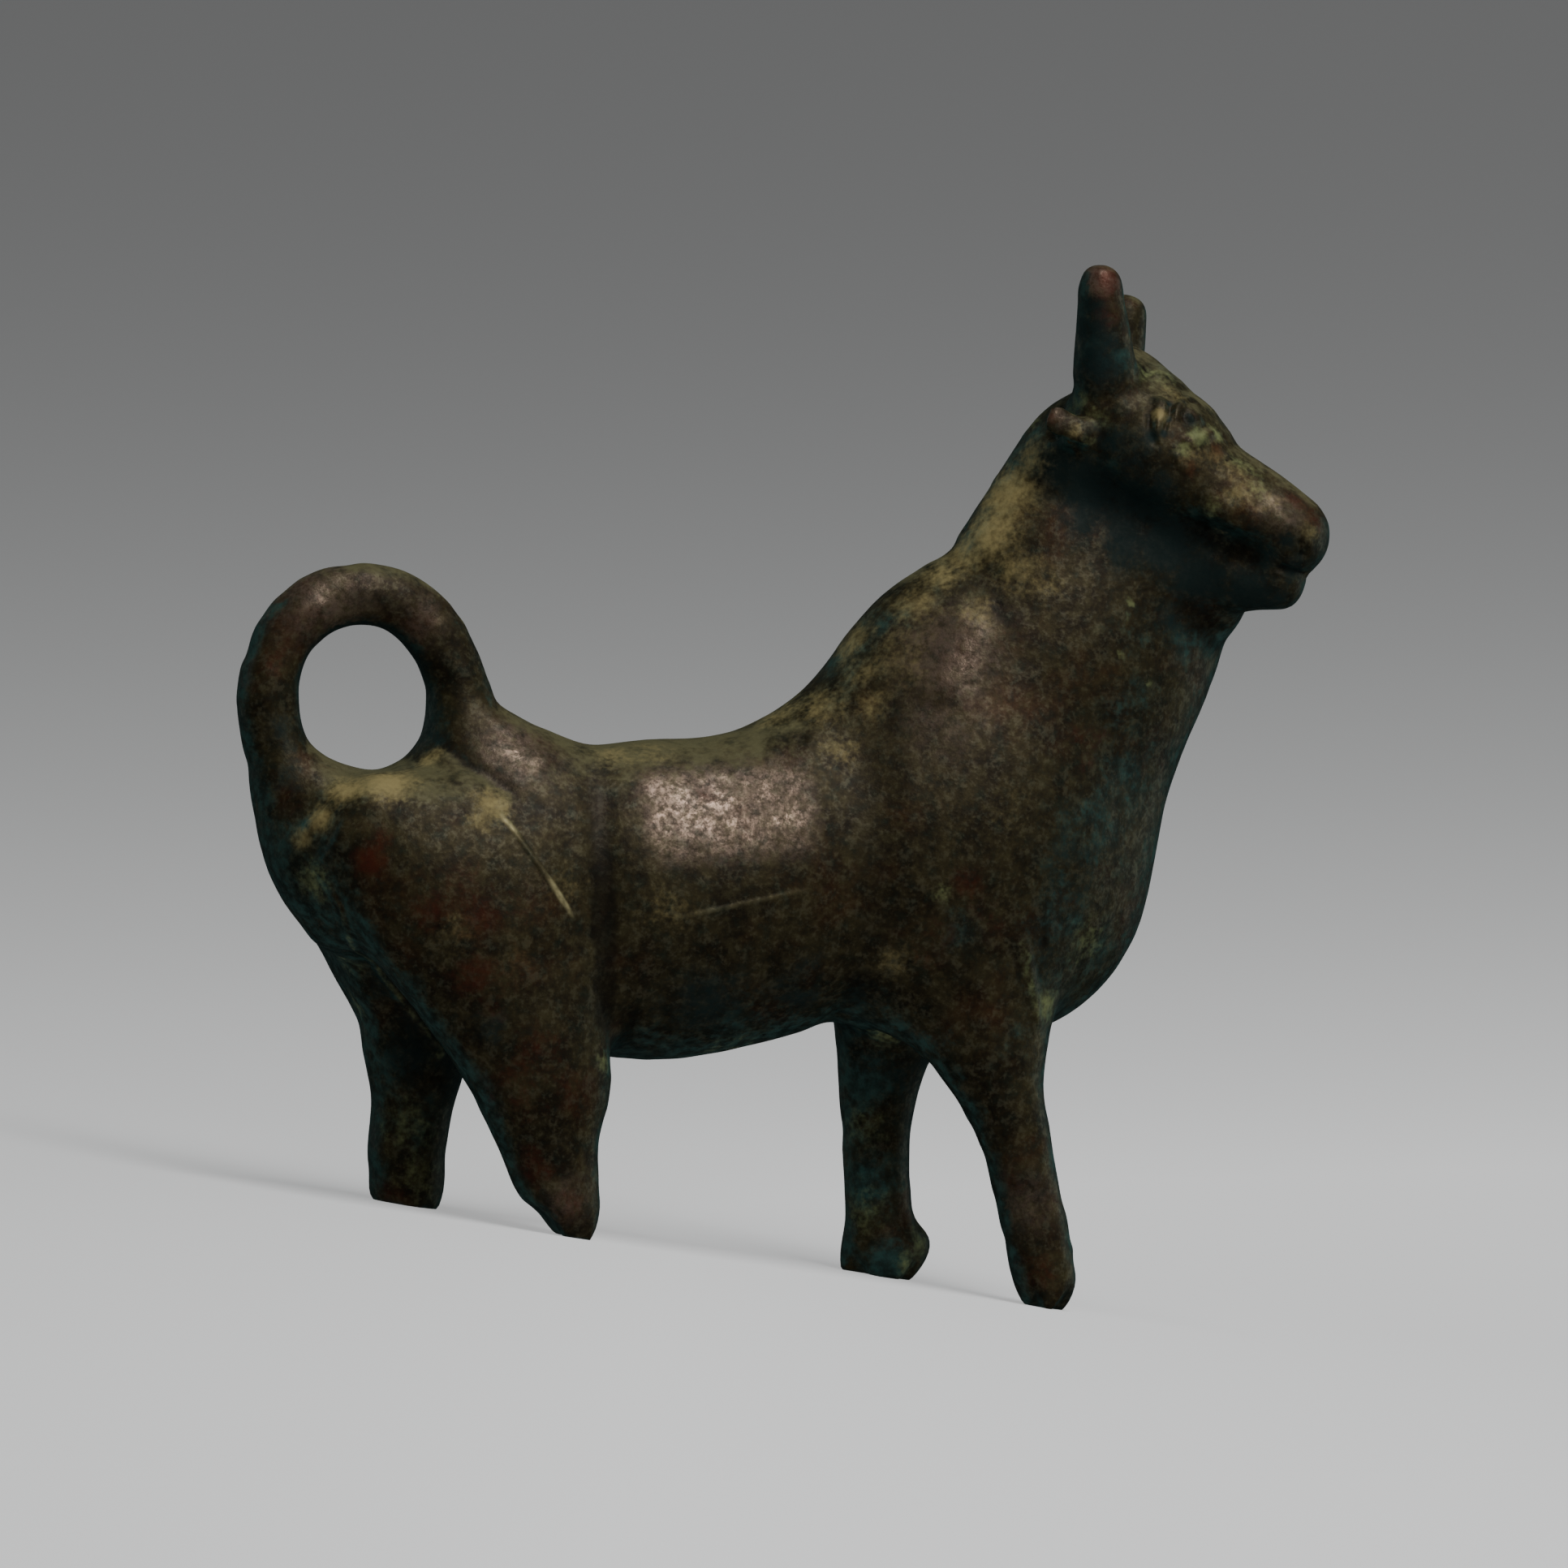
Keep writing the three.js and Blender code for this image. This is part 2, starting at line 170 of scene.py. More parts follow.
def neighbour_mean(values, edges):
    """Each point's mean over its neighbours, for one value or one vector a point."""
    values = values.reshape(len(values), -1)
    count = np.bincount(edges.ravel(), minlength=len(values))
    total = np.stack(
        [
            np.bincount(edges[:, 0], column[edges[:, 1]], len(values))
            + np.bincount(edges[:, 1], column[edges[:, 0]], len(values))
            for column in values.T
        ],
        axis=1,
    )
    return total / np.maximum(count, 1)[:, None]


points = mesh_points(bull.data)
edges = edge_list(bull.data)
on_sole = points[:, 2] < 0.02 * MM
for _ in range(SMOOTHING_ROUNDS):
    for step in (SMOOTHING_IN, SMOOTHING_OUT):
        points += step * (neighbour_mean(points, edges) - points)
points[:, 2] = np.maximum(points[:, 2], 0)
points[on_sole, 2] = 0
set_points(bull.data, points)
print("smoothed", len(points), "points,", int(on_sole.sum()), "of them on the soles")

# %% [markdown]
# ## Finding places on the bronze
#
# A detail is placed by the pixels that it covers in the photograph. The line through each pixel is followed from the
# camera to the skin, and a smooth curve joins the places it meets. For the hidden left side, the places are mirrored
# and moved to the nearest skin. The body mirrors across its middle, and the head, which is turned to the right,
# across its own middle plane.

# %% Lines on the skin
HEAD_TURN = math.radians(25)
HEAD_MIDDLE = Vector((17.64, -1.47, 44.3)) * MM
head_across = Vector((math.sin(HEAD_TURN), math.cos(HEAD_TURN), 0))
CURVE_STEPS = 8
FAR_AWAY = 2.0

skin_tree = BVHTree.FromPolygons(
    [tuple(p) for p in points], [tuple(face.vertices) for face in bull.data.polygons]
)


def on_skin(pixel):
    """The place on the bronze that the photograph shows at a pixel, and the skin's direction there."""
    aside, down = (pixel[0] - PHOTO_SIDE / 2, pixel[1] - PHOTO_SIDE / 2)
    size = SENSOR / LENS / PHOTO_SIDE
    ray = forward + (image_right * aside - image_up * down) * size
    place, normal, _, _ = skin_tree.ray_cast(eye_point, ray.normalized(), FAR_AWAY)
    if place is None:
        place, normal, _, _ = skin_tree.find_nearest(eye_point + ray * DISTANCE)
    return place, normal


def line_on_skin(places):
    """A smooth line over the skin through a few places: its points and the skin's directions there."""
    ends = [places[0] * 2 - places[1], *places, places[-1] * 2 - places[-2]] if len(places) > 1 else None
    if ends is None:
        near, normal, _, _ = skin_tree.find_nearest(places[0])
        return np.array([near]), np.array([normal])
    line = []
    for a, b, c, d in zip(ends, ends[1:], ends[2:], ends[3:]):
        for step in range(CURVE_STEPS):
            t = step / CURVE_STEPS
            line.append(
                0.5 * (2 * b + (c - a) * t + (2 * a - 5 * b + 4 * c - d) * t**2 + (3 * b - a - 3 * c + d) * t**3)
            )
    line.append(places[-1])
    found = [skin_tree.find_nearest(p)[:2] for p in line]
    return np.array([p for p, _ in found]), np.array([n for _, n in found])


def mirrored(place, of_head):
    if of_head:
        return place - head_across * 2 * (place - HEAD_MIDDLE).dot(head_across)
    return Vector((place.x, -place.y, place.z))


def marked(pixels, side="near"):
    """The line that a few pixels mark: on the near side, or mirrored to the far side of the body or the head."""
    places = [on_skin(pixel)[0] for pixel in pixels]
    if side != "near":
        places = [mirrored(place, side == "far head") for place in places]
    return line_on_skin(places)


print("the eye lies at", [round(v / MM, 2) for v in on_skin((1465, 512))[0]], "mm")

# %% [markdown]
# ## The details that were cut and raised
#
# The maker worked these in the wax or chased them in the cold metal: the eye with its lid and brow folds, the nostril
# and mouth, the crease in front of the thigh, the groove beside the tail. Each is a stroke: a line on the skin with a
# half width and a height, which is below zero where the tool cut. Each fades out at both ends, as a tool does that is
# set down and lifted. The lists say where the strokes run in the photograph.

# %% The strokes
# name: (pixels, half width in mm, height in mm)
HEAD_STROKES = {
    "eye socket": (((1466, 512),), 0.8, -0.22),
    "pupil": (((1467, 513),), 0.36, 0.17),
    "upper lid": (((1449, 522), (1452, 502), (1464, 492), (1480, 499)), 0.36, 0.15),
    "tear bump": (((1456, 547), (1476, 541), (1497, 532)), 0.5, 0.2),
    "cheek edge": (((1478, 616), (1515, 636), (1555, 645), (1598, 638)), 1.0, 0.24),
    "cheek hollow": (((1440, 604), (1478, 646), (1520, 670), (1562, 678), (1608, 668)), 1.4, -0.3),
    "muzzle knob": (((1574, 630),), 0.8, 0.14),
    "cheek knob": (((1537, 622),), 0.7, 0.14),
    "nostril": (((1603, 662), (1607, 677), (1603, 690)), 0.38, -0.22),
    "mouth": (((1612, 707), (1600, 707), (1586, 703), (1570, 697)), 0.36, -0.2),
    "ear knob": (((1294, 508), (1308, 518)), 0.8, 0.08),
    "ear root": (((1296, 490), (1324, 500), (1354, 516)), 1.2, 0.16),
    "ear hollow": (((1292, 532), (1312, 545), (1336, 556)), 0.5, -0.26),
}
NEAR_HEAD_STROKES = {
    "brow fold": (((1437, 526), (1440, 498), (1455, 480)), 0.36, 0.1),
    "temple leaf": (((1430, 488), (1429, 512), (1422, 538)), 0.5, 0.17),
    "temple groove": (((1417, 506), (1418, 530), (1424, 552)), 0.34, -0.14),
    "leaf groove": (((1440, 488), (1439, 512), (1431, 538)), 0.26, -0.1),
    "cheek bone": (((1447, 556), (1454, 570), (1463, 584)), 0.4, 0.1),
    "horn root": (((1328, 481), (1347, 492), (1374, 488)), 0.6, -0.1),
    "forehead swell": (((1420, 452), (1438, 466), (1452, 480)), 1.4, 0.16),
}
BODY_STROKES = {
    "thigh front": (((736, 930), (742, 1020), (748, 1120), (746, 1210), (740, 1290)), 1.3, -0.2),
    "thigh swell": (((640, 1010), (655, 1090), (668, 1180)), 2.6, 0.14),
    "rump swell": (((648, 925), (678, 945)), 1.3, 0.12),
    "shoulder swell": (((1146, 866), (1170, 806), (1204, 748)), 2.3, 0.22),
    "shoulder back": (((1056, 850), (1060, 920), (1064, 1000), (1070, 1100), (1074, 1180)), 2.7, -0.32),
    "loin hollow": (((738, 880), (738, 950), (738, 1020), (742, 1110), (742, 1200)), 3.1, -0.34),
    "under the ear": (((1284, 575), (1340, 600), (1400, 630), (1452, 664), (1510, 700)), 2.2, -0.3),
    "leg front ridge": (((1256, 1150), (1270, 1212), (1281, 1275)), 0.6, 0.16),
}
NEAR_STROKES = {
    "tail groove": (((530, 898), (574, 938), (600, 956), (622, 971), (644, 988)), 0.7, -0.15),
    "tail root swell": (((562, 952), (596, 988)), 0.9, 0.12),
    "raised scratch": (((616, 1002), (648, 1046), (680, 1090), (712, 1136)), 0.22, 0.07),
    "rear ridge": (((380, 1050), (422, 1126), (463, 1188), (514, 1255), (545, 1295), (572, 1330)), 0.36, 0.11),
    "tail tip edge": (((366, 1034), (398, 1003), (432, 972)), 0.5, 0.15),
    "tail tip fold": (((394, 1072), (414, 1038), (430, 1008)), 0.4, 0.1),
    "flank scratch": (((826, 1133), (915, 1114), (1006, 1094)), 0.2, 0.04),
    "far thigh edge": (((1036, 1250), (1092, 1280), (1148, 1304)), 0.5, 0.1),
}
STROKE_SETS = (
    (HEAD_STROKES, ("near", "far head")),
    (NEAR_HEAD_STROKES, ("near",)),
    (BODY_STROKES, ("near", "far body")),
    (NEAR_STROKES, ("near",)),
)
stroke_lines = []
for strokes, sides in STROKE_SETS:
    for name, (pixels, half_width, height) in strokes.items():
        for side in sides:
            line, normals = marked(pixels, side)
            stroke_lines.append((name, line, normals.mean(0), half_width * MM, height * MM))
print(len(stroke_lines), "strokes, the finest", min(stroke[3] for stroke in stroke_lines) / MM, "mm to each side of its line")

# %% [markdown]
# A fine stroke needs points to move. Blender's bmesh divides the faces near a narrow stroke once, and near the
# narrowest ones once more. The rest of the body keeps its faces, so the piece stays light.

# %% Divide the skin where it needs points
DIVIDE_BELOW = (0.65 * MM, 0.3 * MM)
DIVIDE_MARGIN = 0.15 * MM


def beside(line, points, reach):
    """How far each point lies from a line of straight pieces, where that is under the reach, and how far along it."""
    nearest = np.full(len(points), np.inf)
    share = np.zeros(len(points))
    chosen = np.flatnonzero(np.all((points > line.min(0) - reach) & (points < line.max(0) + reach), axis=1))
    ends = line[1:] if len(line) > 1 else line
    for n, (a, b) in enumerate(zip(line, ends)):
        along = b - a
        part = np.clip((points[chosen] - a) @ along / max(along @ along, 1e-18), 0, 1)
        gap = np.linalg.norm(points[chosen] - a - part[:, None] * along, axis=1)
        closer = gap < nearest[chosen]
        nearest[chosen[closer]] = gap[closer]
        share[chosen[closer]] = (n + part[closer]) / len(ends)
    return nearest, share


def triangle_count(mesh):
    return sum(len(face.vertices) - 2 for face in mesh.polygons)


def divide_near(mesh, narrower_than):
    shape = bmesh.new()
    shape.from_mesh(mesh)
    shape.faces.ensure_lookup_table()
    middles = np.array([face.calc_center_median() for face in shape.faces])
    chosen = np.zeros(len(middles), bool)
    for _, line, _, half_width, _ in stroke_lines:
        if half_width < narrower_than:
            reach = half_width + DIVIDE_MARGIN
            chosen |= beside(line, middles, reach)[0] < reach
    borders = {edge for n in np.flatnonzero(chosen) for edge in shape.faces[n].edges}
    bmesh.ops.subdivide_edges(shape, edges=list(borders), cuts=1, use_grid_fill=True)
    shape.to_mesh(mesh)
    shape.free()


for limit in DIVIDE_BELOW:
    divide_near(bull.data, limit)
    print("divided near the strokes under", round(limit / MM, 2), "mm:", triangle_count(bull.data), "triangles")

# %% [markdown]
# Each stroke moves the points near its line along the skin's own direction, most on the line and nothing at its half
# width. Points that face away from the line, as on the other side of a thin ear, stay where they are.

# %% Cut and raise
edges = edge_list(bull.data)
points = mesh_points(bull.data)
normals = mesh_normals(bull.data)


FADE_SHARE = 0.28


def stroke_mask(line, points, half_width):
    """One on the stroke's line, nothing at its half width and past its ends."""
    gap, share = beside(line, points, half_width)
    across = np.clip(1 - (gap / half_width) ** 2, 0, 1) ** 2
    if len(line) == 1:
        return across
    ends = np.clip(np.minimum(share, 1 - share) / FADE_SHARE, 0, 1)
    return across * ends * (2 - ends)


moved = np.zeros(len(points))
for _, line, facing, half_width, height in stroke_lines:
    facing = facing / np.linalg.norm(facing)
    moved += height * stroke_mask(line, points, half_width) * np.clip(2.5 * (normals @ facing), 0, 1)
points += normals * moved[:, None]
points[:, 2] = np.maximum(points[:, 2], 0)
set_points(bull.data, points)
print("moved", int((np.abs(moved) > 0).sum()), "points by up to", round(float(np.abs(moved).max()) / MM, 2), "mm")

# %% [markdown]
# ## The surface of the cast
#
# Bronze that was poured into a clay mould keeps the mould's unevenness, and centuries in the ground eat small pits
# into it. The same rule holds all over the figure, so a Geometry Nodes tree makes it: wide swells, a finer grain and
# scattered pits, each moved along the skin's own direction. Its sizes are inputs, and the seed is fixed. The soles
# stay flat. The tree also stores where the pits are, so that the patina can settle in them.

# %% Node helpers
def add_node(tree, kind, inputs=None, **settings):
    """A new node with its settings, and with each input wired to a socket or set to a value."""
    node = tree.nodes.new(kind)
    for name, value in settings.items():
        setattr(node, name, value)
    for name, value in (inputs or {}).items():
        if isinstance(value, bpy.types.NodeSocket):
            tree.links.new(value, node.inputs[name])
        else:
            node.inputs[name].default_value = value
    return node


def calculate(tree, operation, a, b=0.0, clamped=False):
    return add_node(tree, "ShaderNodeMath", {0: a, 1: b}, operation=operation, use_clamp=clamped).outputs[0]


def ramp(tree, value, start, end, low=0.0, high=1.0):
    """A soft step: low where the value is under start, high where it is over end."""
    inputs = {"Value": value, "From Min": start, "From Max": end, "To Min": low, "To Max": high}
    return add_node(tree, "ShaderNodeMapRange", inputs, interpolation_type="SMOOTHSTEP").outputs[0]


def new_group(name, kind, inputs, outputs):
    """A node group with named sockets. Each is given as a name, a type and, for an input, a value."""
    group = bpy.data.node_groups.new(name, kind)
    for socket_name, socket_type, value in inputs:
        socket = group.interface.new_socket(socket_name, in_out="INPUT", socket_type="NodeSocket" + socket_type)
        if value is not None:
            socket.default_value = value
    for socket_name, socket_type in outputs:
        group.interface.new_socket(socket_name, in_out="OUTPUT", socket_type="NodeSocket" + socket_type)
    return group, group.nodes.new("NodeGroupInput").outputs, group.nodes.new("NodeGroupOutput")


# %% Cast surface, in Geometry Nodes
SWELL_SIZE, SWELL_DEPTH = 2.4 * MM, 0.07 * MM
GRAIN_SIZE, GRAIN_DEPTH = 0.7 * MM, 0.026 * MM
PIT_SPACING, PIT_DEPTH, PIT_SHARE = 1.5 * MM, 0.075 * MM, 0.16
CAST_SEED = 7.0

cast, given, result = new_group(
    "cast_surface",
    "GeometryNodeTree",
    [
        ("Skin", "Geometry", None),
        ("Swell size", "Float", SWELL_SIZE),
        ("Swell depth", "Float", SWELL_DEPTH),
        ("Grain size", "Float", GRAIN_SIZE),
        ("Grain depth", "Float", GRAIN_DEPTH),
        ("Pit spacing", "Float", PIT_SPACING),
        ("Pit depth", "Float", PIT_DEPTH),
        ("Pit share", "Float", PIT_SHARE),
        ("Seed", "Float", CAST_SEED),
        ("Bronze", "Material", None),
    ],
    [("Cast", "Geometry")],
)
place = add_node(cast, "GeometryNodeInputPosition").outputs[0]


def unevenness(size, depth, detail):
    """Noise of a given size, from minus to plus half the depth."""
    inputs = {"Vector": place, "W": given["Seed"], "Scale": calculate(cast, "DIVIDE", 1.0, size), "Detail": detail}
    noise = add_node(cast, "ShaderNodeTexNoise", inputs, noise_dimensions="4D")
    return calculate(cast, "MULTIPLY", calculate(cast, "SUBTRACT", noise.outputs[0], 0.5), depth)


pit_cells = add_node(
    cast,
    "ShaderNodeTexVoronoi",
    {"Vector": place, "W": given["Seed"], "Scale": calculate(cast, "DIVIDE", 1.0, given["Pit spacing"])},
    voronoi_dimensions="4D",
)
cell_draw = add_node(cast, "ShaderNodeSeparateXYZ", {0: pit_cells.outputs["Color"]}).outputs[0]
is_pit = calculate(cast, "LESS_THAN", cell_draw, given["Pit share"])
pits = calculate(cast, "MULTIPLY", ramp(cast, pit_cells.outputs["Distance"], 0.34, 0.1), is_pit)
swell = unevenness(given["Swell size"], given["Swell depth"], 1.0)
grain = unevenness(given["Grain size"], given["Grain depth"], 2.0)
height = calculate(cast, "ADD", swell, grain)
height = calculate(cast, "SUBTRACT", height, calculate(cast, "MULTIPLY", pits, given["Pit depth"]))
above_sole = ramp(cast, add_node(cast, "ShaderNodeSeparateXYZ", {0: place}).outputs[2], 0.1 * MM, 0.6 * MM)
height = calculate(cast, "MULTIPLY", height, above_sole)
offset = add_node(
    cast, "ShaderNodeVectorMath", {0: add_node(cast, "GeometryNodeInputNormal").outputs[0], "Scale": height}, operation="SCALE"
)
moved_skin = add_node(cast, "GeometryNodeSetPosition", {"Geometry": given["Skin"], "Offset": offset.outputs[0]})
kept_pits = add_node(
    cast, "GeometryNodeStoreNamedAttribute", {"Geometry": moved_skin.outputs[0], "Name": "pits", "Value": pits}
)
realized = add_node(cast, "GeometryNodeRealizeInstances", {"Geometry": kept_pits.outputs[0]})
finished = add_node(cast, "GeometryNodeSetMaterial", {"Geometry": realized.outputs[0], "Material": given["Bronze"]})
cast.links.new(finished.outputs[0], result.inputs["Cast"])
bronze = bpy.data.materials.new("patinated_bronze")


def input_id(group, name):
    return next(s.identifier for s in group.interface.items_tree if s.name == name and s.in_out == "INPUT")


surface = bull.modifiers.new("cast surface", "NODES")
surface.node_group = cast
surface[input_id(cast, "Bronze")] = bronze
bull.data = finished_mesh(bull)
bull.modifiers.clear()
print("cast surface on", len(bull.data.vertices), "points")

# %% [markdown]
# ## Where the patina settled, and where shade and light are painted
#
# Metal that is open to the hand and to the light stays brown and smooth. Hollows, undersides and the faces that point
# forward or back keep a dark green crust. The same dark crust is also laid as painted shade under the head, on the
# chest and under the belly, and the teal on the faces that point forward or back is partly patina and partly a painted
# rim reflection. Each point of the skin gets a few values for this, stored as attributes that the material reads: how
# sheltered it is, how far it points away from the open sides, and how much ochre earth, red copper ore and pale green
# it carries. The pale green also paints highlights on two ridges and a lighter tone on the far legs, which stand in
# shade.

# %% How sheltered each point is
SHELTER_RAYS = 20
SHELTER_REACH = 9 * MM
GOLDEN_ANGLE = math.pi * (3 - math.sqrt(5))

points = mesh_points(bull.data)
normals = mesh_normals(bull.data)
edges = edge_list(bull.data)


def shelter():
    """The share of the sky over each point that other parts of the figure hide."""
    cast_tree = BVHTree.FromPolygons([tuple(p) for p in points], [tuple(f.vertices) for f in bull.data.polygons])
    hidden = np.zeros(len(points))
    aside = np.cross(normals, np.where(np.abs(normals[:, 2:]) < 0.9, (0, 0, 1), (1, 0, 0)))
    aside /= np.linalg.norm(aside, axis=1)[:, None]
    across = np.cross(normals, aside)
    starts = points + normals * 0.15 * MM
    for ray in range(SHELTER_RAYS):
        spread = math.sqrt((ray + 0.5) / SHELTER_RAYS)
        turn = ray * GOLDEN_ANGLE
        rise = math.sqrt(1 - spread**2)
        towards = aside * spread * math.cos(turn) + across * spread * math.sin(turn) + normals * rise
        for n, (start, direction) in enumerate(zip(starts, towards)):
            if cast_tree.ray_cast(start, direction, SHELTER_REACH)[0] is not None:
                hidden[n] += 1
    return hidden / SHELTER_RAYS


def spread_out(values, rounds):
    for _ in range(rounds):
        values = neighbour_mean(values, edges)[:, 0]
    return values


shelter_and_shade = spread_out(shelter(), 6)
smooth_points = points.copy()
for _ in range(12):
    smooth_points = neighbour_mean(smooth_points, edges)
hollow = np.einsum("ij,ij->i", smooth_points - points, normals) / (0.08 * MM)
open_face = np.maximum(np.abs(normals[:, 1]) * 0.95, normals[:, 2] * 1.25)
turned_away = np.clip((0.84 - open_face) / 0.42, 0, 1)
print("sheltered on average", round(float(shelter_and_shade.mean()), 3), "turned away", round(float(turned_away.mean()), 3))
